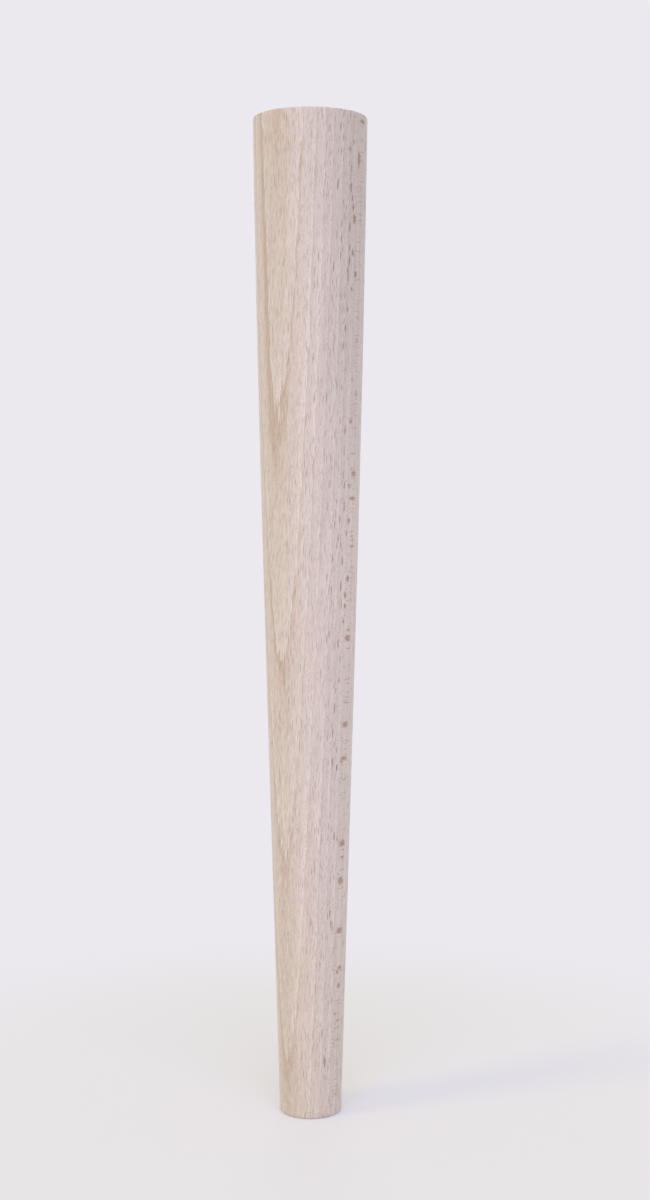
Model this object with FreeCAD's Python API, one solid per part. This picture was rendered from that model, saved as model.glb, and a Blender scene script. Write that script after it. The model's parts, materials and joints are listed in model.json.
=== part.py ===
# Round tapered furniture leg, turned from one length of beech.
# It stands on its foot: the origin is the foot's centre on the floor, and +Z runs up the leg's axis.
# Lengths are in millimetres and angles in degrees.
import FreeCAD, Part
import math
import os

# Side of the leg: the diameter at each end, and how far the side leans out from upright there.
# It leans more at the foot than at the top, which gives the taper its slight camber.
leg_length = 400.0
foot_diameter = 25.0
top_diameter = 45.5
foot_lean = 1.6
top_lean = 0.8

# Rims, eased with sandpaper
foot_edge_radius = 1.0
top_edge_radius = 0.7

# Blind pilot hole in the top, drilled for the wood thread of an M8 hanger bolt
pilot_diameter = 7.0
pilot_depth = 45.0
pilot_tip_angle = 118.0
pilot_mouth_chamfer = 0.8

axis = FreeCAD.Vector(0, 0, 1)
foot_centre = FreeCAD.Vector(0, 0, 0)
top_centre = axis * leg_length


def side_curve():
    # Cubic curve up the side: its two inner poles lie a third of the length along the end tangents
    foot_rim = FreeCAD.Vector(foot_diameter / 2, 0, 0)
    top_rim = FreeCAD.Vector(top_diameter / 2, 0, leg_length)
    pole_rise = leg_length / 3
    foot_run = pole_rise * math.tan(math.radians(foot_lean))
    top_run = pole_rise * math.tan(math.radians(top_lean))
    side = Part.BezierCurve()
    side.setPoles(
        [
            foot_rim,
            foot_rim + FreeCAD.Vector(foot_run, 0, pole_rise),
            top_rim - FreeCAD.Vector(top_run, 0, pole_rise),
            top_rim,
        ]
    )
    return side


def turned_blank():
    # Half section between the axis and the side, spun once round the axis
    side = side_curve()
    half_section = Part.Wire(
        [
            Part.LineSegment(foot_centre, side.StartPoint).toShape(),
            side.toShape(),
            Part.LineSegment(side.EndPoint, top_centre).toShape(),
            Part.LineSegment(top_centre, foot_centre).toShape(),
        ]
    )
    return Part.Face(half_section).revolve(foot_centre, axis, 360)


def rim_at(solid, centre):
    # The circular edges drawn round this point of the axis
    circles = [edge for edge in solid.Edges if isinstance(edge.Curve, Part.Circle)]
    return [edge for edge in circles if edge.Curve.Center.isEqual(centre, 1e-6)]


def ease_rims(solid):
    solid = solid.makeFillet(foot_edge_radius, rim_at(solid, foot_centre))
    return solid.makeFillet(top_edge_radius, rim_at(solid, top_centre))


def pilot_drill():
    # Flute, conical tip and the small countersink at the mouth, as one cutter
    radius = pilot_diameter / 2
    tip_length = radius / math.tan(math.radians(pilot_tip_angle / 2))
    wall_end = top_centre - axis * pilot_depth
    mouth_start = top_centre - axis * pilot_mouth_chamfer
    mouth_radius = radius + pilot_mouth_chamfer
    flute = Part.makeCylinder(radius, pilot_depth, wall_end, axis)
    tip = Part.makeCone(radius, 0, tip_length, wall_end, -axis)
    countersink = Part.makeCone(radius, mouth_radius, pilot_mouth_chamfer, mouth_start, axis)
    return flute.fuse([tip, countersink])


def turned_leg():
    return ease_rims(turned_blank()).cut(pilot_drill()).removeSplitter()


leg = turned_leg()
os.makedirs("parts", exist_ok=True)
leg.exportStep("parts/turned_leg.step")
print("solids", len(leg.Solids), "valid", leg.isValid(), "volume cm3", round(leg.Volume / 1000, 2))
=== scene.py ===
# Tapered furniture leg in raw beech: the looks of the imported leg, in metres, foot at the origin, +Z up
import bpy
import json
import math
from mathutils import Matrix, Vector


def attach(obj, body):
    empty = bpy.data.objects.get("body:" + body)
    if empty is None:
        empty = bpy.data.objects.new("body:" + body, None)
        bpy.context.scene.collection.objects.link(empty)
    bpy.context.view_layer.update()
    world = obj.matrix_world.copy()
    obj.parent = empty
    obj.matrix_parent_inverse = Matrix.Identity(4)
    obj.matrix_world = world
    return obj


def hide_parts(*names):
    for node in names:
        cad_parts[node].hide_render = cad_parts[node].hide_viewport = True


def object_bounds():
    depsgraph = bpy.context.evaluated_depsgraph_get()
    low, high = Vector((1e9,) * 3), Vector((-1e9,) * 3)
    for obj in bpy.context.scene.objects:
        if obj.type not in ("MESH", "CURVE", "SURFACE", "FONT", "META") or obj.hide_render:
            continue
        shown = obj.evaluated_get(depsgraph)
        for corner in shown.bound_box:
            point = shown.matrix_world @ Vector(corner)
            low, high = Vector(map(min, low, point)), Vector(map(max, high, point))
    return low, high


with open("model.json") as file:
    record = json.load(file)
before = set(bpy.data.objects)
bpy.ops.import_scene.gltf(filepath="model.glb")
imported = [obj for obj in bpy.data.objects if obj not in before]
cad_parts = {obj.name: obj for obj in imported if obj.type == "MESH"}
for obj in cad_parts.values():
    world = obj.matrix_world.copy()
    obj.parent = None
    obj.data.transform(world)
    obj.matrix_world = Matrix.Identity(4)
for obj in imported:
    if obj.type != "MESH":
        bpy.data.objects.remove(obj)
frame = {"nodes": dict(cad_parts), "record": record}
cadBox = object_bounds()
legNode = frame["nodes"]["turned_leg"]
pilotHole = next(mount["dims"] for mount in frame["record"]["mounts"] if mount["name"] == "pilot_hole")
perMetre = 1000.0   # millimetres
print("frame loaded, leg is", round(cadBox[1].z, 4), "m tall")


# Small helpers: numbers or sockets go in, a socket comes out

def feed(tree, socket, value):
    if isinstance(value, bpy.types.NodeSocket):
        tree.links.new(value, socket)
    else:
        socket.default_value = value


def calc(tree, operation, *values):
    node = tree.nodes.new("ShaderNodeMath")
    node.operation = operation
    for socket, value in zip(node.inputs, values):
        feed(tree, socket, value)
    return node.outputs[0]


def vectorCalc(tree, operation, *values):
    node = tree.nodes.new("ShaderNodeVectorMath")
    node.operation = operation
    for socket, value in zip(node.inputs, values):
        feed(tree, socket, value)
    return node.outputs["Value" if operation in ("LENGTH", "DOT_PRODUCT") else "Vector"]


def combine(tree, x, y, z):
    node = tree.nodes.new("ShaderNodeCombineXYZ")
    for socket, value in zip(node.inputs, (x, y, z)):
        feed(tree, socket, value)
    return node.outputs[0]


def split(tree, vector):
    node = tree.nodes.new("ShaderNodeSeparateXYZ")
    feed(tree, node.inputs[0], vector)
    return node.outputs[0], node.outputs[1], node.outputs[2]


def remap(tree, value, low, high, newLow, newHigh, smooth=False):
    node = tree.nodes.new("ShaderNodeMapRange")
    node.interpolation_type = "SMOOTHSTEP" if smooth else "LINEAR"
    names = ("Value", "From Min", "From Max", "To Min", "To Max")
    for name, entry in zip(names, (value, low, high, newLow, newHigh)):
        feed(tree, node.inputs[name], entry)
    return node.outputs[0]


def noise(tree, place, size, low, high, detail=2.0, reach=(0.25, 0.75)):
    # noise as coarse as size, in the place's units, with its usual reach spread from low to high
    node = tree.nodes.new("ShaderNodeTexNoise")
    node.inputs["Scale"].default_value = 1.0
    node.inputs["Detail"].default_value = detail
    feed(tree, node.inputs["Vector"], vectorCalc(tree, "DIVIDE", place, size))
    return remap(tree, node.outputs["Fac"], *reach, low, high)


def blendColours(tree, factor, first, second, way="MIX"):
    node = tree.nodes.new("ShaderNodeMix")   # its colours go in at 6 and 7 and come out at 2
    node.data_type = "RGBA"
    node.blend_type = way
    feed(tree, node.inputs[0], factor)
    feed(tree, node.inputs[6], first)
    feed(tree, node.inputs[7], second)
    return node.outputs[2]


def ramp(tree, value, stops, way="LINEAR"):
    node = tree.nodes.new("ShaderNodeValToRGB")
    feed(tree, node.inputs[0], value)
    node.color_ramp.interpolation = way
    elements = node.color_ramp.elements
    while len(elements) < len(stops):
        elements.new(1.0)
    for element, (place, level) in zip(elements, stops):
        element.position = place
        element.color = (level, level, level, 1.0)
    return node.outputs[0]


def openGroup(name, inputs, outputs):
    tree = bpy.data.node_groups.new(name, "ShaderNodeTree")
    for label, kind, value in inputs:
        socket = tree.interface.new_socket(label, in_out="INPUT", socket_type="NodeSocket" + kind)
        socket.default_value = value
    for label, kind in outputs:
        tree.interface.new_socket(label, in_out="OUTPUT", socket_type="NodeSocket" + kind)
    return tree, tree.nodes.new("NodeGroupInput").outputs, tree.nodes.new("NodeGroupOutput").inputs


def useGroup(tree, group, **values):
    node = tree.nodes.new("ShaderNodeGroup")
    node.node_tree = group
    for label, value in values.items():
        feed(tree, node.inputs[label], value)
    return node.outputs


# The tree that the leg was cut from, in millimetres and degrees
trunk = {
    "barkAzimuth": -38.5,    # way to the bark at mid height, turned from the leg's front (-Y) towards +X
    "pithDistance": 160.0,   # from the leg's axis back to the pith
    "twist": 0.0256,         # degrees that the bark's direction turns for each mm up
    "lean": 0.035,           # slope of the fibres across the grain
    "midHeight": 200.0,
    # each year, from the pith out: its growth, where in it the late wood starts, how dark that is
    "years": (
        (3.5, 0.70, 0.7), (3.2, 0.80, 0.6), (3.1, 0.72, 0.8), (3.6, 0.80, 0.6), (3.1, 0.80, 0.6),
        (3.5, 0.82, 0.6), (3.3, 0.82, 0.55), (3.5, 0.82, 0.55), (3.75, 0.82, 0.6), (2.9, 0.82, 0.6),
        (3.61, 0.82, 0.65), (2.47, 0.80, 0.75), (2.27, 0.80, 1.2), (2.685, 0.55, 1.3), (2.245, 0.55, 0.4),
    ),
    "lastEdge": 22.85,       # where the last of those years ends, on the bark side of the leg's axis
}


def makeGrainFrame():
    tree, given, put = openGroup("grainFrame", [("Position", "Vector", (0, 0, 0))], [("Grain", "Vector")])
    inMillimetres = vectorCalc(tree, "MULTIPLY", given["Position"], (perMetre,) * 3)
    height = split(tree, inMillimetres)[2]
    raised = calc(tree, "SUBTRACT", height, trunk["midHeight"])
    turn = calc(
        tree, "MULTIPLY_ADD", raised, -math.radians(trunk["twist"]), math.radians(90 - trunk["barkAzimuth"])
    )
    spin = tree.nodes.new("ShaderNodeVectorRotate")
    spin.rotation_type = "Z_AXIS"
    feed(tree, spin.inputs["Vector"], inMillimetres)
    feed(tree, spin.inputs["Angle"], turn)
    turned = split(tree, spin.outputs[0])
    towardsBark = calc(tree, "ADD", turned[0], trunk["pithDistance"])
    across = turned[1]
    fromPith = vectorCalc(tree, "LENGTH", combine(tree, towardsBark, across, 0.0))
    growth = calc(tree, "SUBTRACT", fromPith, trunk["pithDistance"])
    angle = calc(tree, "ARCTAN2", across, towardsBark)
    leaned = calc(tree, "MULTIPLY", height, trunk["lean"])
    around = calc(tree, "MULTIPLY_ADD", angle, trunk["pithDistance"], calc(tree, "MULTIPLY", leaned, -1.0))
    feed(tree, put["Grain"], combine(tree, growth, around, height))
    return tree


ringLook = {
    "drift": 0.12,                      # mm that a ring strays from a true circle
    "driftSize": (40.0, 14.0, 90.0),    # mm, as growth, around, along
    "ragged": 0.22,                     # mm that the edge of a year frays
    "raggedSize": (5.0, 0.6, 11.0),
    # wood from the start of a year to its end: pale at first, then level, with a tan band last
    "rise": ((0.0, 0.06), (0.06, 0.08), (0.32, 0.29), (0.70, 0.38), (1.0, 0.42)),
    "lateDepth": 0.72,
    "lateFull": 0.97,                   # share of the year at which the band is at its darkest
    "patchSize": (20.0, 6.0, 30.0),     # over which the tan band comes and goes
    "patches": (0.8, 1.2),
    "lateSide": (-4.0, 6.0),            # mm across the leg, from one side to the other
    "lateSides": (1.0, 0.55),           # and how strong the band is there
    "lateStart": 0.86,                  # where it starts on that other side, which makes it a thin line
    "setBack": 0.75,                    # mm that the rings stand back near the top on one side
    "setBackHeight": (270.0, 390.0),    # mm, from none of that to all
    "setBackSide": (0.0, -6.0),         # mm across the leg, likewise
}


def countYears(tree, growth):
    # how far through all the years a growth is, and how far through its own year
    widths = [width for width, start, dark in trunk["years"]]
    whole = sum(widths)
    yearCurve = tree.nodes.new("ShaderNodeFloatCurve")   # because the years differ in width
    share = remap(tree, growth, trunk["lastEdge"] - whole, trunk["lastEdge"], 0.0, 1.0)
    feed(tree, yearCurve.inputs["Value"], share)
    points = yearCurve.mapping.curves[0].points
    for count in range(1, len(widths)):
        points.new(sum(widths[:count]) / whole, count / len(widths))
    for point in points:
        point.handle_type = "VECTOR"
    yearCurve.mapping.update()
    yearShare = yearCurve.outputs[0]
    return yearShare, calc(tree, "FRACT", calc(tree, "MULTIPLY", yearShare, float(len(widths))))


def makeGrowthRings():
    look = ringLook
    tree, given, put = openGroup("growthRings", [("Grain", "Vector", (0, 0, 0))], [("Tone", "Float")])
    growth, around, along = split(tree, given["Grain"])
    across = calc(tree, "MULTIPLY_ADD", along, trunk["lean"], around)
    setBack = remap(tree, along, *look["setBackHeight"], 0.0, look["setBack"], smooth=True)
    onSide = remap(tree, across, *look["setBackSide"], 0.0, 1.0, smooth=True)
    growth = calc(tree, "SUBTRACT", growth, calc(tree, "MULTIPLY", setBack, onSide))
    for size, most in (("driftSize", "drift"), ("raggedSize", "ragged")):
        wander = noise(tree, given["Grain"], look[size], -look[most], look[most], detail=1.0)
        growth = calc(tree, "ADD", growth, wander)
    yearShare, withinYear = countYears(tree, growth)
    years = trunk["years"]
    starts = [(count / len(years), start) for count, (width, start, dark) in enumerate(years)]
    depths = [(count / len(years), dark) for count, (width, start, dark) in enumerate(years)]
    lateStart = ramp(tree, yearShare, starts, "CONSTANT")
    depth = ramp(tree, yearShare, depths, "CONSTANT")
    patches = noise(tree, given["Grain"], look["patchSize"], *look["patches"], detail=1.0)
    side = remap(tree, across, *look["lateSide"], 0.0, 1.0, smooth=True)
    depth = calc(tree, "MULTIPLY", depth, remap(tree, side, 0.0, 1.0, *look["lateSides"]))
    depth = calc(tree, "MULTIPLY", depth, patches)
    later = calc(tree, "SUBTRACT", look["lateStart"], lateStart)
    lateStart = calc(tree, "MULTIPLY_ADD", side, later, lateStart)
    late = remap(tree, withinYear, lateStart, look["lateFull"], 0.0, look["lateDepth"], smooth=True)
    late = calc(tree, "MULTIPLY", late, depth)
    feed(tree, put["Tone"], calc(tree, "ADD", ramp(tree, withinYear, look["rise"]), late))
    return tree


fibreLook = {
    "fineSize": (0.7, 0.55, 4.5),     # mm, as growth, around, along
    "broadSize": (2.5, 1.6, 32.0),
    "poreSize": (0.28, 0.28, 4.0),
    "poreReach": (0.54, 0.72),        # of the noise, from no pore to an open one
    "fineRelief": 0.3,                # of the fine fibres, where a pore is 1 deep
}


def makeFibres():
    outputs = [("Fine", "Float"), ("Broad", "Float"), ("Pores", "Float")]
    tree, given, put = openGroup("fibres", [("Grain", "Vector", (0, 0, 0))], outputs)
    for name, size in (("Fine", fibreLook["fineSize"]), ("Broad", fibreLook["broadSize"])):
        feed(tree, put[name], noise(tree, given["Grain"], size, -1.0, 1.0))
    pores = noise(tree, given["Grain"], fibreLook["poreSize"], 0.0, 1.0, 0.0, fibreLook["poreReach"])
    feed(tree, put["Pores"], pores)
    return tree


rayLook = {
    # room for each ray of a kind and half its size, in mm, as growth, around, along
    "kinds": {
        "Large Rays": ((6.0, 0.80, 8.0), (2.8, 0.13, 2.1)),
        "Middle Rays": ((6.0, 0.62, 3.8), (2.6, 0.09, 1.4)),
        "Small Rays": ((5.0, 0.40, 1.5), (2.4, 0.10, 0.34)),
        "Level Rays": ((9.0, 0.70, 1.45), (4.2, 0.30, 0.24)),
    },
    "bulk": (0.6, 1.2),     # of that size, from ray to ray
    "edge": (0.7, 1.0),     # of the half size, where a ray fades out
    "depth": (0.45, 1.0),   # of stain, from ray to ray
    "fraySize": (2.5, 0.6, 1.6),
    "fray": (0.0, 0.04, 0.3),   # mm that a ray's edge strays
}


def makeRays():
    # thin sheets that run out from the pith: long along the growth, thin around it, a few mm tall
    inputs = [
        ("Grain", "Vector", (0, 0, 0)),
        ("Cell", "Vector", (1, 1, 1)),         # room for each sheet, in mm
        ("Half Size", "Vector", (1, 1, 1)),    # of the sheet
    ]
    tree, given, put = openGroup("rays", inputs, [("Ray", "Float")])
    inCells = vectorCalc(tree, "DIVIDE", given["Grain"], given["Cell"])
    cells = tree.nodes.new("ShaderNodeTexVoronoi")
    cells.inputs["Scale"].default_value = 1.0
    feed(tree, cells.inputs["Vector"], inCells)
    fromMiddle = vectorCalc(tree, "SUBTRACT", inCells, cells.outputs["Position"])
    fromMiddle = vectorCalc(tree, "MULTIPLY", fromMiddle, given["Cell"])
    reach = vectorCalc(tree, "LENGTH", vectorCalc(tree, "DIVIDE", fromMiddle, given["Half Size"]))
    chance = split(tree, cells.outputs["Color"])
    reach = calc(tree, "DIVIDE", reach, remap(tree, chance[0], 0.0, 1.0, *rayLook["bulk"]))
    sheet = remap(tree, reach, *rayLook["edge"], 1.0, 0.0)
    feed(tree, put["Ray"], calc(tree, "MULTIPLY", sheet, remap(tree, chance[1], 0.0, 1.0, *rayLook["depth"])))
    return tree


def makeBeechWood(grainTools):
    growthRings, fibres, rays = grainTools
    inputs = [
        ("Grain", "Vector", (0, 0, 0)),
        ("Pale", "Color", (1, 1, 1, 1)),
        ("Tan", "Color", (1, 1, 1, 1)),
        ("Ray Stain", "Color", (1, 1, 1, 1)),    # the wood's colour is multiplied by it in a ray
        ("Fine Depth", "Float", 0.0),
        ("Broad Depth", "Float", 0.0),
        ("Pore Depth", "Float", 0.0),
    ]
    inputs += [(kind, "Float", 1.0) for kind in rayLook["kinds"]]
    tree, given, put = openGroup("beechWood", inputs, [("Colour", "Color"), ("Height", "Float")])
    tone = useGroup(tree, growthRings, Grain=given["Grain"])["Tone"]
    streaks = useGroup(tree, fibres, Grain=given["Grain"])
    shade = calc(tree, "MULTIPLY_ADD", streaks["Fine"], given["Fine Depth"], 1.0)
    shade = calc(tree, "MULTIPLY_ADD", streaks["Broad"], given["Broad Depth"], shade)
    pored = calc(tree, "MULTIPLY", streaks["Pores"], given["Pore Depth"])
    shade = calc(tree, "SUBTRACT", shade, pored)
    wood = blendColours(tree, tone, given["Pale"], given["Tan"])
    wood = vectorCalc(tree, "MULTIPLY", wood, combine(tree, shade, shade, shade))
    stray = noise(tree, given["Grain"], rayLook["fraySize"], -1.0, 1.0, detail=1.0)
    stray = combine(tree, stray, stray, stray)
    frayed = vectorCalc(tree, "MULTIPLY_ADD", stray, rayLook["fray"], given["Grain"])
    stain = 0.0
    for kind, (cell, half) in rayLook["kinds"].items():
        ray = useGroup(tree, rays, **{"Grain": frayed, "Cell": cell, "Half Size": half})["Ray"]
        stain = calc(tree, "MAXIMUM", stain, calc(tree, "MULTIPLY", ray, given[kind]))
    wood = blendColours(tree, stain, wood, given["Ray Stain"], "MULTIPLY")
    feed(tree, put["Colour"], wood)
    fibreHeight = calc(tree, "MULTIPLY", streaks["Fine"], fibreLook["fineRelief"])
    feed(tree, put["Height"], calc(tree, "SUBTRACT", fibreHeight, streaks["Pores"]))
    return tree


def makeToolMarks():
    # uneven lines that a saw or a drill leaves, one after another along a place in mm
    inputs = [("Place", "Float", 0.0), ("Spacing", "Float", 1.0)]
    tree, given, put = openGroup("toolMarks", inputs, [("Mark", "Float")])
    spacing = combine(tree, given["Spacing"], 1.0, 1.0)
    feed(tree, put["Mark"], noise(tree, combine(tree, given["Place"], 0.0, 0.0), spacing, 0.0, 1.0))
    return tree


grainFrame = makeGrainFrame()
beechWood = makeBeechWood((makeGrowthRings(), makeFibres(), makeRays()))
toolMarks = makeToolMarks()
print("wood groups built")


def startBeech(name):
    # a new material with the places that its finish is made from: in metres, and in the grain
    material = bpy.data.materials.new(name)
    material.use_nodes = True
    tree = material.node_tree
    spot = tree.nodes.new("ShaderNodeTexCoord").outputs["Object"]
    return material, tree, spot, useGroup(tree, grainFrame, Position=spot)["Grain"]


def finishBeech(material, look, colour, height):
    tree = material.node_tree
    shader = tree.nodes["Principled BSDF"]
    feed(tree, shader.inputs["Base Color"], colour)
    shader.inputs["Roughness"].default_value = look["roughness"]
    shader.inputs["Sheen Weight"].default_value = look["sheen"]
    bump = tree.nodes.new("ShaderNodeBump")
    bump.inputs["Distance"].default_value = look["relief"]
    feed(tree, bump.inputs["Height"], height)
    feed(tree, shader.inputs["Normal"], bump.outputs[0])
    return material


sandedSide = {
    "wood": {
        "Pale": (0.664, 0.573, 0.532, 1.0),    # wood of the start of a year
        "Tan": (0.530, 0.402, 0.322, 1.0),     # and of a dark year's end
        "Ray Stain": (0.54, 0.43, 0.405, 1.0),
        "Broad Depth": 0.055,
        "Pore Depth": 0.08,
    },
    "roughness": 0.5,
    "sheen": 0.28,
    "relief": 0.00003,              # m that a pore is deep
    # painted shade up the leg, darker towards the foot and the top, and how much more painted shade it gets
    # near the top on the pith side
    "shadeUpLeg": ((0.0, 0.938), (0.14, 0.970), (0.35, 0.998), (0.75, 1.0), (0.92, 0.97), (1.0, 0.96)),
    "pithSideShadeDepth": 0.125,
    "pithSideShadeGrowth": (20.0, 2.0),     # mm, from none of it to all
    "pithSideShadeHeight": (215.0, 370.0),
    # painted warm light reflected from the floor, growing towards the foot
    "floorBounceTint": (1.0, 0.992, 0.955, 1.0),
    "footHeight": (140.0, 20.0),    # mm, from none of that tint to all
    # a cut is a cosine: 1 where the side runs along the rings, 0 where it runs across them
    "flatCut": (0.93, 0.985),       # from none to all of the flat look, which is this tint and deeper fibres
    "flatTint": (0.963, 0.957, 0.945, 1.0),
    "fineDepths": ((0.080, 0.145), (0.068, 0.112)),    # of the fibres, without and with it, low and high up
    "fineHeight": (230.0, 320.0),   # mm, from low to high up
    # strength of each kind of ray at the first of its two cuts and at the second
    "largeRays": (0.76, 1.0),
    "largeCut": (0.75, 0.40),
    "middleRays": (0.65, 0.06),
    "middleCut": (0.34, 0.18),
    "smallRays": (0.5, 0.7),
    "levelRays": (0.0, 0.5),
    "smallCut": (0.22, 0.10),       # for the small and the level ones
    "fleckStrip": (0.17, 0.24),     # from none of the large rays, where the flecks stand in for them, to all
}

# Flecks, which are large rays where the side is cut along them, listed from the top down:
# azimuth in degrees and height in mm of the middle, half width and half height in mm, depth of stain
sideFlecks = (
    (65, 396.8, 2.2, 0.9, 1.0), (50, 398, 0.5, 0.8, 0.6), (49, 388, 0.5, 1.1, 0.75),
    (44, 385, 0.45, 1.3, 0.75), (58, 381.8, 0.8, 2.9, 1.4), (62, 382.5, 1.4, 1.4, 0.3),
    (64, 373.6, 2.0, 0.4, 0.3), (45.6, 370.4, 0.4, 2.2, 1.3), (48, 366.4, 0.4, 1.1, 1.0),
    (49.3, 362.8, 0.5, 1.6, 1.2), (51.3, 358.4, 0.85, 1.8, 1.3), (60.7, 350, 2.0, 0.4, 0.3),
    (49.3, 345.4, 0.6, 1.3, 1.0), (55, 337.4, 0.85, 1.3, 1.3), (42.3, 339, 0.4, 1.0, 0.6),
    (43, 335.6, 0.35, 1.7, 0.8), (48.4, 331.4, 0.5, 0.9, 0.85), (39, 329, 0.3, 1.7, 0.7),
    (43, 323.4, 0.5, 1.1, 0.8), (60.4, 320.8, 1.8, 0.5, 0.4), (40, 316, 0.4, 1.2, 0.9),
    (52, 296.4, 0.7, 0.7, 0.5), (60.7, 290.8, 1.2, 1.3, 0.5), (51.3, 280, 0.9, 0.9, 0.9),
    (42.7, 276, 0.6, 1.1, 0.5), (59.3, 259.4, 1.8, 1.4, 0.85), (50, 254.8, 0.6, 0.9, 0.7),
    (58, 249.8, 2.2, 0.8, 1.0), (42, 245, 0.45, 1.0, 0.6), (51.3, 241, 0.85, 1.1, 0.95),
    (47, 236, 0.4, 1.4, 0.9), (60, 233.2, 1.3, 0.6, 0.5), (58.7, 230.8, 1.6, 0.7, 0.85),
    (51.3, 218.2, 0.9, 1.2, 1.1), (58, 209.8, 1.0, 0.4, 0.4), (47.3, 211.6, 0.75, 1.3, 1.0),
    (47.3, 207.2, 0.75, 1.0, 1.0), (45, 201.2, 0.45, 1.3, 0.9), (55.6, 197.6, 1.1, 0.7, 0.8),
    (54.7, 194.4, 1.9, 1.3, 1.0), (40.7, 186.6, 0.3, 1.4, 0.9), (39.6, 177.8, 0.3, 1.2, 0.9),
    (54, 169.2, 1.5, 0.8, 0.3), (53.7, 159.8, 2.0, 1.2, 1.0), (52.7, 146.2, 2.0, 0.9, 0.95),
    (47.3, 145, 0.6, 0.8, 0.85), (39.3, 143.2, 0.3, 1.1, 0.9), (54, 137.6, 1.2, 0.5, 0.45),
    (53.3, 112, 1.9, 1.4, 0.95), (42, 113.8, 0.45, 0.8, 0.7), (53.7, 106.2, 1.3, 0.6, 0.65),
    (52, 96.6, 1.7, 1.7, 0.95), (52, 76.4, 1.7, 1.3, 1.0), (54.5, 61.0, 1.5, 0.8, 1.0),
    (49, 59.4, 0.7, 1.0, 0.9), (60, 59.8, 0.7, 0.7, 0.6), (53.3, 53.6, 1.1, 1.2, 0.95),
    (45.6, 42.4, 0.6, 0.7, 0.7), (52.7, 39.6, 1.0, 0.4, 0.5), (44, 30.2, 0.6, 0.6, 0.5),
    (52, 31.8, 1.5, 0.4, 0.35), (51.3, 23.2, 1.2, 0.4, 0.4),
)
fleckLook = {
    "stain": (0.61, 0.43, 0.35, 1.0),
    "edge": (0.50, 1.35),           # of the half size, where a fleck fades out
    "rough": 0.4,                   # of the half size that the edge strays
    "roughSize": (0.8, 0.6, 1.0),   # mm
    "streakSize": (0.5, 0.7, 1.0),  # mm, of the uneven stain inside a fleck
    "streaks": (0.85, 1.20),
}


def sidePlaces(tree, spot):
    # radius and height in mm, and the way round from the front in radians
    x, y, height = split(tree, vectorCalc(tree, "MULTIPLY", spot, (perMetre,) * 3))
    radius = vectorCalc(tree, "LENGTH", combine(tree, x, y, 0.0))
    return radius, height, calc(tree, "ARCTAN2", x, calc(tree, "MULTIPLY", y, -1.0))


def sideFleckMask(tree, sides, radiusAt):
    radius, height, azimuth = sides
    unrolled = combine(tree, calc(tree, "MULTIPLY", azimuth, radius), height, 0.0)
    rough = noise(tree, unrolled, fleckLook["roughSize"], -fleckLook["rough"], fleckLook["rough"])
    inner, outer = [calc(tree, "ADD", edge, rough) for edge in fleckLook["edge"]]
    # past the way to the bark the same flecks come again, mirrored and upside down
    bark = math.radians(trunk["barkAzimuth"])
    fromBark = calc(tree, "SUBTRACT", azimuth, bark)
    toUpsideDown = calc(tree, "MULTIPLY_ADD", height, -2.0, cadBox[1].z * perMetre)
    height = calc(tree, "MULTIPLY_ADD", calc(tree, "LESS_THAN", fromBark, 0.0), toUpsideDown, height)
    folded = combine(tree, calc(tree, "ABSOLUTE", fromBark), height, 0.0)
    mask = 0.0
    for degrees, middle, halfWidth, halfHeight, depth in sideFlecks:
        scale = (radiusAt(middle / perMetre) * perMetre / halfWidth, 1 / halfHeight, 0.0)
        offset = ((bark - math.radians(degrees)) * scale[0], -middle * scale[1], 0.0)
        reach = vectorCalc(tree, "LENGTH", vectorCalc(tree, "MULTIPLY_ADD", folded, scale, offset))
        mask = calc(tree, "MAXIMUM", mask, remap(tree, reach, inner, outer, depth, 0.0))
    return calc(tree, "MULTIPLY", mask, noise(tree, unrolled, fleckLook["streakSize"], *fleckLook["streaks"]))


def rayStrengths(tree, cut):
    look = sandedSide
    large = remap(tree, cut, *look["largeCut"], *look["largeRays"], smooth=True)
    return {
        "Large Rays": calc(tree, "MULTIPLY", large, remap(tree, cut, *look["fleckStrip"], 0.0, 1.0)),
        "Middle Rays": remap(tree, cut, *look["middleCut"], *look["middleRays"], smooth=True),
        "Small Rays": remap(tree, cut, *look["smallCut"], *look["smallRays"], smooth=True),
        "Level Rays": remap(tree, cut, *look["smallCut"], *look["levelRays"], smooth=True),
    }


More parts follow.
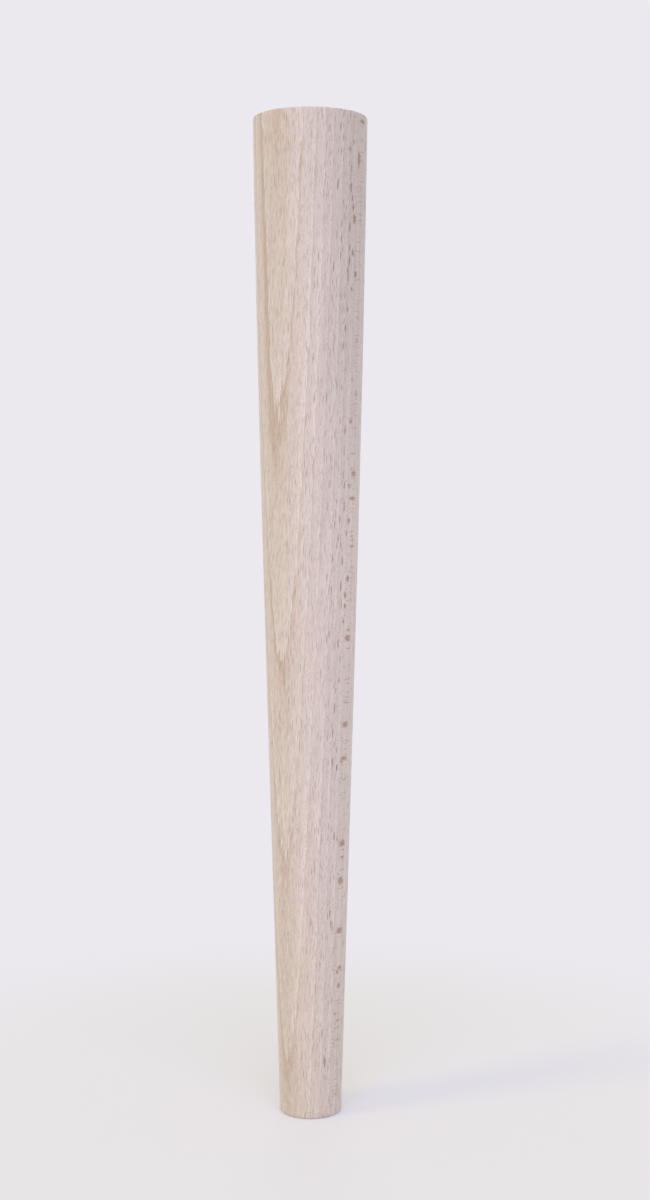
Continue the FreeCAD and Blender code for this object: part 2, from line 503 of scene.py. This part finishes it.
def makeSandedBeech(radiusAt):
    look = sandedSide
    material, tree, spot, grain = startBeech("sandedBeech")
    radius, height, azimuth = sidePlaces(tree, spot)
    growth = split(tree, grain)[0]
    cut = calc(tree, "ABSOLUTE", calc(tree, "DIVIDE", growth, radius))
    flat = remap(tree, cut, *look["flatCut"], 0.0, 1.0, smooth=True)
    varied = rayStrengths(tree, cut)
    fineDepths = [remap(tree, flat, 0.0, 1.0, *depths) for depths in look["fineDepths"]]
    varied["Fine Depth"] = remap(tree, height, *look["fineHeight"], *fineDepths, smooth=True)
    wood = useGroup(tree, beechWood, Grain=grain, **varied, **look["wood"])
    # painted shade, darker towards the foot and the top of the leg
    tone = ramp(tree, calc(tree, "DIVIDE", height, cadBox[1].z * perMetre), look["shadeUpLeg"])
    # painted shade, deeper near the top on the pith side
    pithSideShade = remap(tree, growth, *look["pithSideShadeGrowth"], 0.0, look["pithSideShadeDepth"], smooth=True)
    pithSideShade = calc(tree, "MULTIPLY", pithSideShade, remap(tree, height, *look["pithSideShadeHeight"], 0.0, 1.0, smooth=True))
    tone = calc(tree, "SUBTRACT", tone, pithSideShade)
    colour = vectorCalc(tree, "MULTIPLY", wood["Colour"], combine(tree, tone, tone, tone))
    colour = blendColours(tree, flat, colour, look["flatTint"], "MULTIPLY")
    # painted reflection of warm floor light, stronger towards the foot
    low = remap(tree, height, *look["footHeight"], 0.0, 1.0, smooth=True)
    colour = blendColours(tree, low, colour, look["floorBounceTint"], "MULTIPLY")
    flecks = sideFleckMask(tree, (radius, height, azimuth), radiusAt)
    colour = blendColours(tree, flecks, colour, fleckLook["stain"], "MULTIPLY")
    return finishBeech(material, look, colour, wood["Height"])


sawnEnd = {
    "wood": {
        "Pale": (0.562, 0.448, 0.402, 1.0),
        "Tan": (0.418, 0.305, 0.256, 1.0),
        "Ray Stain": (1.16, 1.14, 1.12, 1.0),    # rays are the paler lines here
        "Large Rays": 0.9,
        "Middle Rays": 0.6,
        "Small Rays": 0.3,
        "Level Rays": 0.0,
        "Fine Depth": 0.08,
        "Broad Depth": 0.05,
        "Pore Depth": 0.30,
    },
    "roughness": 0.65,
    "sheen": 0.0,
    "relief": 0.00005,
    "markWay": (0.94, 0.34, 0.0),    # across the saw's lines
    "markSpacing": 1.5,              # mm
    "markDepth": 0.07,
}
drilledWall = {
    "wood": {
        "Pale": (0.500, 0.395, 0.330, 1.0),
        "Tan": (0.400, 0.290, 0.220, 1.0),
        "Ray Stain": (0.75, 0.64, 0.58, 1.0),
        "Large Rays": 0.8,
        "Middle Rays": 0.5,
        "Small Rays": 0.3,
        "Level Rays": 0.0,
        "Fine Depth": 0.14,
        "Broad Depth": 0.05,
        "Pore Depth": 0.20,
    },
    "roughness": 0.75,
    "sheen": 0.0,
    "relief": 0.00012,
    "markWay": (0.0, 0.0, 1.0),      # up the hole, across the drill's rings
    "markSpacing": 0.9,
    "markDepth": 0.14,
}


def makeCutBeech(name, look):
    # an end or a hole as the saw or the drill left it
    material, tree, spot, grain = startBeech(name)
    wood = useGroup(tree, beechWood, Grain=grain, **look["wood"])
    acrossMarks = vectorCalc(tree, "DOT_PRODUCT", spot, [share * perMetre for share in look["markWay"]])
    mark = useGroup(tree, toolMarks, Place=acrossMarks, Spacing=look["markSpacing"])["Mark"]
    shade = remap(tree, mark, 0.0, 1.0, 1.0 - look["markDepth"], 1.0 + look["markDepth"])
    colour = vectorCalc(tree, "MULTIPLY", wood["Colour"], combine(tree, shade, shade, shade))
    return finishBeech(material, look, colour, calc(tree, "ADD", wood["Height"], mark))


legCuts = {
    "facets": 192,         # round the leg
    "sideRings": 150,
    "rimSteps": 6,
    "faceRings": 6,        # across each end face
    "wallRings": 12,       # down the pilot hole
    "footEase": 0.0010,    # m, radius of the sanded foot rim
    "topEase": 0.0007,
    "mouthChamfer": 0.0008,
    "tipAngle": 118.0,     # of the drill, in degrees
    "sharpAngle": 30.0,    # degrees, past which an edge stays crisp
    "levelDigits": 6,      # decimals of a metre to which corners of one ring are level
    # places on the bake map, as shares of its width or height
    "sideShare": 0.85,     # height of the unrolled side, with the rest in a strip above it
    "mapGap": 0.005,
    "topDisc": 0.1,
    "footDisc": 0.3,
    "discFill": 0.95,      # of the strip's height
    "holeStart": 0.45,
    "holeWidth": 0.5,
}


def sideRadius():
    # radius against height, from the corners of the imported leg's mesh
    corners = [(corner.co.z, math.hypot(corner.co.x, corner.co.y)) for corner in legNode.data.vertices]
    outside = 2 * pilotHole["r_mm"] / perMetre   # well clear of the hole
    low, high = legCuts["footEase"], cadBox[1].z - legCuts["topEase"]
    onSide = [(z, radius) for z, radius in corners if low <= z <= high and radius > outside]
    side = sorted({round(z, legCuts["levelDigits"]): radius for z, radius in onSide}.items())

    def radiusAt(height):
        for (below, first), (above, second) in zip(side, side[1:]):
            if height <= above:
                step = (height - below) / (above - below)
                return first + (second - first) * max(step, 0.0)
        return side[-1][1]

    return radiusAt


def arc(centreRadius, centreHeight, radius, start, end, steps):
    points = []
    for step in range(steps + 1):
        angle = math.radians(start + (end - start) * step / steps)
        points.append((centreRadius + radius * math.cos(angle), centreHeight + radius * math.sin(angle)))
    return points


def evenly(start, end, steps):
    return [
        (start[0] + (end[0] - start[0]) * step / steps, start[1] + (end[1] - start[1]) * step / steps)
        for step in range(steps + 1)
    ]


def legOutline(radiusAt):
    # half section from the foot's centre, up the side, over the top and down the pilot hole, by stretch
    top = cadBox[1].z
    footEase, topEase, chamfer = legCuts["footEase"], legCuts["topEase"], legCuts["mouthChamfer"]
    holeRadius = pilotHole["r_mm"] / perMetre
    wallEnd = top - chamfer - pilotHole["length_mm"] / perMetre
    tipDrop = holeRadius / math.tan(math.radians(legCuts["tipAngle"] / 2))
    footRadius, topRadius = radiusAt(footEase), radiusAt(top - topEase)
    side = arc(footRadius - footEase, footEase, footEase, -90, 0, legCuts["rimSteps"])
    rise = (top - topEase - footEase) / legCuts["sideRings"]
    heights = [footEase + rise * count for count in range(1, legCuts["sideRings"])]
    side += [(radiusAt(height), height) for height in heights]
    side += arc(topRadius - topEase, top - topEase, topEase, 0, 90, legCuts["rimSteps"])
    mouth = (holeRadius + chamfer, top)
    bore = evenly((holeRadius, top - chamfer), (holeRadius, wallEnd), legCuts["wallRings"])
    return {
        "foot": evenly((0.0, 0.0), side[0], legCuts["faceRings"]),
        "side": side,
        "top": evenly(side[-1], mouth, legCuts["faceRings"]),
        "hole": [mouth] + bore + [(0.0, wallEnd - tipDrop)],
    }


def mapPlace(stretch, turn, share, radius):
    # place on the bake map, from shares of a turn and of a stretch: side and hole unrolled, end faces flat
    stripBottom = legCuts["sideShare"] + legCuts["mapGap"]
    stripTall = 1.0 - stripBottom
    if stretch == "side":
        return turn, share * legCuts["sideShare"]
    if stretch == "hole":
        across = legCuts["holeStart"] + legCuts["holeWidth"] * turn
        return across, stripBottom + share * (stripTall - legCuts["mapGap"])
    centre = legCuts["topDisc" if stretch == "top" else "footDisc"]
    spread = stripTall / 2 * legCuts["discFill"] * radius / cadBox[1].x
    azimuth = 2 * math.pi * turn - math.pi
    return centre + spread * math.sin(azimuth), stripBottom + stripTall / 2 - spread * math.cos(azimuth)


def turnOutline(outline):
    # the outline turned about the leg's axis: its mesh, and the number of each face's finish
    facets = legCuts["facets"]
    azimuths = [2 * math.pi * count / facets - math.pi for count in range(facets)]   # the seam is at the back
    order = {"side": 0, "foot": 1, "top": 1, "hole": 2}    # each stretch's place in the mesh's materials
    corners, faces, places, finishes = [], [], [], []

    def addRing(radius, height):
        start = len(corners)
        if radius == 0.0:    # on the axis a ring is a single corner
            corners.append((0.0, 0.0, height))
            return [start] * facets
        for azimuth in azimuths:
            corners.append((radius * math.sin(azimuth), -radius * math.cos(azimuth), height))
        return list(range(start, start + facets))

    above = addRing(*outline["foot"][0])
    for stretch, points in outline.items():    # each starts where the one before it ends
        lengths = [0.0]
        for first, second in zip(points, points[1:]):
            lengths.append(lengths[-1] + math.dist(first, second))
        for count in range(1, len(points)):
            below = above
            above = addRing(*points[count])
            for turn in range(facets):
                ahead = (turn + 1) % facets
                loop = [
                    (below[turn], count - 1, turn), (below[ahead], count - 1, turn + 1),
                    (above[ahead], count, turn + 1), (above[turn], count, turn),
                ]
                # a face that ends on the axis has three corners
                if below[turn] == below[ahead]:
                    loop = [(below[turn], count - 1, turn + 0.5), loop[2], loop[3]]
                elif above[turn] == above[ahead]:
                    loop = [loop[0], loop[1], (above[turn], count, turn + 0.5)]
                faces.append([corner for corner, row, column in loop])
                finishes.append(order[stretch])
                for corner, row, column in loop:
                    share = lengths[row] / lengths[-1]
                    places.append(mapPlace(stretch, column / facets, share, points[row][0]))
    mesh = bpy.data.meshes.new("beechLeg")
    mesh.from_pydata(corners, [], faces)
    bakeMap = mesh.uv_layers.new(name="OFBake")
    for index, spot in enumerate(places):
        bakeMap.data[index].uv = spot
    return mesh, finishes


def makeLeg():
    radiusAt = sideRadius()
    mesh, finishes = turnOutline(legOutline(radiusAt))
    mesh.materials.append(makeSandedBeech(radiusAt))
    mesh.materials.append(makeCutBeech("sawnBeech", sawnEnd))
    mesh.materials.append(makeCutBeech("drilledBeech", drilledWall))
    for face, finish in zip(mesh.polygons, finishes):
        face.use_smooth = True
        face.material_index = finish
    mesh.set_sharp_from_angle(angle=math.radians(legCuts["sharpAngle"]))
    leg = bpy.data.objects.new("beechLeg", mesh)
    bpy.context.scene.collection.objects.link(leg)
    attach(leg, "root")
    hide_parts("turned_leg")
    return leg


beechLeg = makeLeg()
print("leg made:", len(beechLeg.data.polygons), "faces")


studio = {
    "floorColour": (0.757, 0.727, 0.780),    # under the leg
    "floorShown": (0.815, 0.79, 0.79),       # that floor as the camera sees it
    "shadowLift": 0.30,                      # share of that colour that no shadow takes away
    "backdropColour": (0.832, 0.815, 0.86),  # what shows behind it
    "floorReach": 6.0,                       # m
    "floorSides": 96,
    "fadeStart": 0.10,                       # m from the leg, where the floor starts to fade
    "fadeEnd": 0.30,                         # and where it has turned into the backdrop
    "skyColour": (0.965, 0.991, 0.848),
    "skyStrength": 0.70,
    # azimuth from the front towards +X and elevation in degrees, strength, soft angle in degrees, colour
    "lamps": {
        "warmLeft": (-66, 34, 0.201, 16, (1.0, 0.82, 0.10)),
        "frontLeft": (-10, 36, 0.268, 55, (0.645, 0.68, 1.0)),
        "frontRight": (10, 36, 0.362, 60, (0.655, 0.68, 1.0)),
        "lowBack": (180, 12, 0.26, 30, (0.72, 0.74, 1.0)),
    },
}


def seenDirectly(tree):
    # 1 for what the camera sees, straight or in a reflection
    path = tree.nodes.new("ShaderNodeLightPath")
    seen = calc(tree, "MAXIMUM", path.outputs["Is Camera Ray"], path.outputs["Is Glossy Ray"])
    return calc(tree, "MAXIMUM", seen, path.outputs["Is Transmission Ray"])


def makeFloor():
    sides, reach = studio["floorSides"], studio["floorReach"]
    bpy.ops.mesh.primitive_circle_add(vertices=sides, radius=reach, fill_type="NGON")
    floor = bpy.context.object
    floor.name = "floor"
    material = bpy.data.materials.new("paleFloor")
    material.use_nodes = True
    tree = material.node_tree
    shader = tree.nodes["Principled BSDF"]
    shader.inputs["Base Color"].default_value = (*studio["floorColour"], 1.0)
    shader.inputs["Roughness"].default_value = 1.0
    shader.inputs["Specular IOR Level"].default_value = 0.0
    shown = tree.nodes.new("ShaderNodeEmission")
    ground = tree.nodes.new("ShaderNodeTexCoord")
    away = vectorCalc(tree, "LENGTH", ground.outputs["Object"])
    fade = remap(tree, away, studio["fadeStart"], studio["fadeEnd"], 0.0, 1.0, smooth=True)
    backdrop = (*studio["backdropColour"], 1.0)
    feed(tree, shown.inputs["Color"], blendColours(tree, fade, (*studio["floorShown"], 1.0), backdrop))
    lift = remap(tree, fade, 0.0, 1.0, studio["shadowLift"], 1.0)
    mix = tree.nodes.new("ShaderNodeMixShader")
    feed(tree, mix.inputs[0], calc(tree, "MULTIPLY", lift, seenDirectly(tree)))
    feed(tree, mix.inputs[1], shader.outputs[0])
    feed(tree, mix.inputs[2], shown.outputs[0])
    feed(tree, tree.nodes["Material Output"].inputs["Surface"], mix.outputs[0])
    floor.data.materials.append(material)


def makeSky():
    world = bpy.data.worlds.new("softSky")
    bpy.context.scene.world = world
    world.use_nodes = True
    tree = world.node_tree
    light = tree.nodes["Background"]
    light.inputs["Color"].default_value = (*studio["skyColour"], 1.0)
    light.inputs["Strength"].default_value = studio["skyStrength"]
    shown = tree.nodes.new("ShaderNodeBackground")
    shown.inputs["Color"].default_value = (*studio["backdropColour"], 1.0)
    mix = tree.nodes.new("ShaderNodeMixShader")
    feed(tree, mix.inputs[0], seenDirectly(tree))
    feed(tree, mix.inputs[1], light.outputs[0])
    feed(tree, mix.inputs[2], shown.outputs[0])
    feed(tree, tree.nodes["World Output"].inputs["Surface"], mix.outputs[0])


def makeLamps():
    for name, (azimuth, elevation, strength, softness, colour) in studio["lamps"].items():
        lamp = bpy.data.lights.new(name, "SUN")
        lamp.energy = strength * math.pi   # so that a strength of 1 lights a face to its own colour
        lamp.angle = math.radians(softness)
        lamp.color = colour
        holder = bpy.data.objects.new(name, lamp)
        holder.rotation_euler = (math.radians(90 - elevation), 0, math.radians(azimuth))
        bpy.context.scene.collection.objects.link(holder)


camera = {
    "place": (0.0, -0.7022, 0.250),
    "pitchDown": 3.35,          # degrees
    "turnRight": 0.48,          # degrees
    "focalPixels": 1746.0,
    "framePixels": 1200.0,      # height of the frame that those pixels are counted in
    "sensorSize": 36.0,         # mm, along the frame's height
    "nearest": 0.01,            # m
}


def makeCamera():
    eye = bpy.data.cameras.new("viewCamera")
    eye.sensor_width = camera["sensorSize"]
    eye.lens = camera["focalPixels"] / camera["framePixels"] * camera["sensorSize"]
    eye.clip_start = camera["nearest"]
    holder = bpy.data.objects.new("viewCamera", eye)
    holder.location = camera["place"]
    holder.rotation_euler = (math.radians(90 - camera["pitchDown"]), 0, math.radians(-camera["turnRight"]))
    bpy.context.scene.collection.objects.link(holder)
    bpy.context.scene.camera = holder


makeFloor()
makeSky()
makeLamps()
makeCamera()
bpy.context.scene.view_settings.view_transform = "Standard"
print("studio set")
